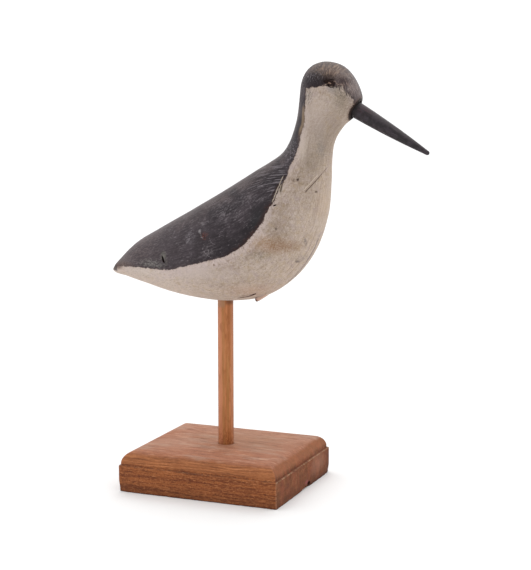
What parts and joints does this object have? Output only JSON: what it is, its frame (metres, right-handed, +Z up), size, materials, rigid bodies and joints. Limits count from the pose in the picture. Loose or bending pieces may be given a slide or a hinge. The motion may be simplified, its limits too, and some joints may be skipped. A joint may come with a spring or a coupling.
{
  "type": "shorebird decoy on a stand",
  "caption": "Carved and painted wooden shorebird decoy with a long drooping bill and tack eyes, held by a dowel over a rectangular block with a rounded top edge.",
  "frame": {"origin": "the middle of the block's underside", "axes": "+X the way the bird looks, +Y its left side, +Z up along the stick"},
  "size_m": [0.2014, 0.089, 0.2553],
  "materials": {
    "block_wood": "stained reddish brown hardwood, rubbed satin, dusty on top",
    "dowel_wood": "orange-brown dowel, thin satin varnish",
    "painted_wood": "old matt oil paint, cream below and charcoal black above, worn and grimy",
    "black_paint": "near-black paint on wood, satin",
    "tack_metal": "rusty iron tack head"
  },
  "bodies": {
    "root": {"base_block": "block_wood", "stick": "dowel_wood", "bird_body": "painted_wood", "bill": "black_paint", "eye_right": "tack_metal", "eye_left": "tack_metal"}
  },
  "joints": []
}
